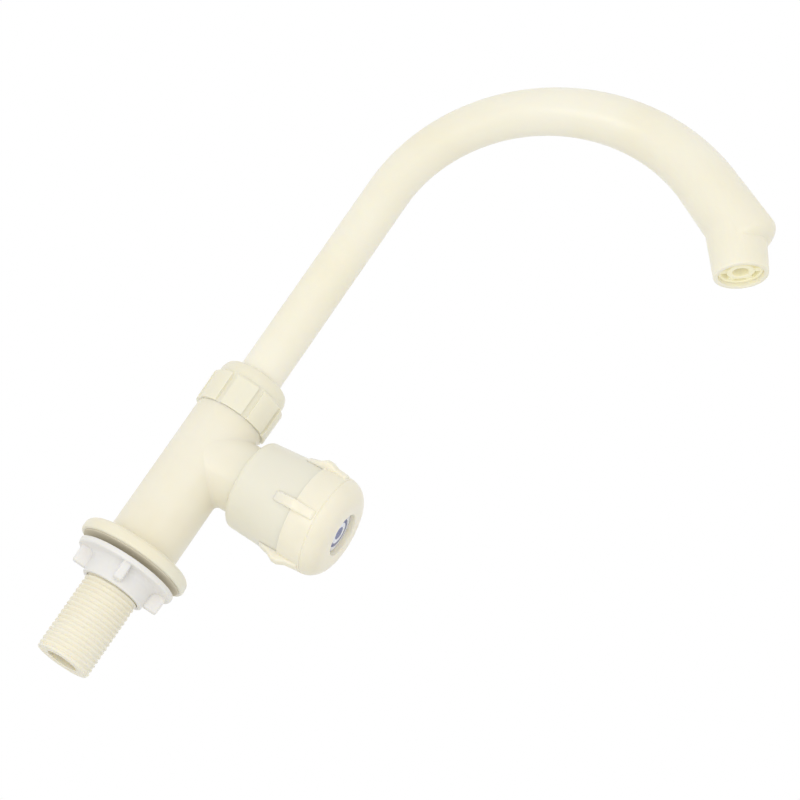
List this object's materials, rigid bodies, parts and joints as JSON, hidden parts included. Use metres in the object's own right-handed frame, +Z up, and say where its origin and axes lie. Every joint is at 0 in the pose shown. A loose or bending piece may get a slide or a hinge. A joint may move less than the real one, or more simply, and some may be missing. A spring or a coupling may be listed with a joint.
{
  "type": "kitchen faucet",
  "caption": "Deck-mounted single-supply plastic tap with a swivelling gooseneck spout and a side knob that opens a ceramic-disc valve.",
  "frame": {"origin": "centre of the tap hole on the deck's upper surface, where the underside of the deck gasket rests", "axes": "+Z up along the shank and column, +X out along the side branch, the knob and, at rest, the spout"},
  "size_m": [0.1601, 0.0426, 0.2922],
  "materials": {
    "body_plastic": "ivory ABS, satin gloss as moulded",
    "spout_plastic": "ivory ABS, satin gloss as moulded",
    "collar_plastic": "ivory ABS, satin gloss as moulded",
    "knob_plastic": "ivory ABS, satin gloss as moulded",
    "nut_plastic": "white nylon, slightly translucent",
    "gasket_rubber": "dark grey-brown moulded rubber",
    "seal_rubber": "black nitrile",
    "washer_plastic": "white slip plastic",
    "insert_plastic": "pale yellow-green moulded plastic",
    "disc_ceramic": "lapped alumina",
    "cartridge_brass": "turned brass",
    "spindle_brass": "turned brass",
    "clip_steel": "spring steel",
    "screw_steel": "stainless steel",
    "button_plastic": "white cap with a plain blue ring for cold water"
  },
  "bodies": {
    "tap_body": {"valve_body": "body_plastic", "deck_gasket": "gasket_rubber", "spout_nut": "collar_plastic", "spout_washer": "washer_plastic", "seat_ring": "seal_rubber", "fixed_disc": "disc_ceramic", "cartridge_body": "cartridge_brass", "cartridge_o_ring": "seal_rubber", "thrust_washer": "washer_plastic"},
    "lock_nut": {"lock_nut": "nut_plastic"},
    "valve_control": {"knob": "knob_plastic", "index_button": "button_plastic", "knob_screw": "screw_steel", "spindle": "spindle_brass", "spindle_o_rings": "seal_rubber", "moving_disc": "disc_ceramic", "retaining_clip": "clip_steel"},
    "spout": {"spout": "spout_plastic", "spout_split_ring": "washer_plastic", "spout_o_rings": "seal_rubber", "flow_straightener": "insert_plastic"}
  },
  "joints": [
    {"name": "knob_turn", "type": "hinge", "parent": "tap_body", "child": "valve_control", "pos_m": [0, 0, 0.0467], "axis": [1, 0, 0], "range_deg": [0, 90]},
    {"name": "spout_swivel", "type": "hinge", "parent": "tap_body", "child": "spout", "pos_m": [0, 0, 0.0746], "axis": [0, 0, 1], "continuous": true},
    {"name": "lock_nut_travel", "type": "slide", "parent": "tap_body", "child": "lock_nut", "axis": [0, 0, -1], "range_m": [-0.002, 0.029]}
  ]
}
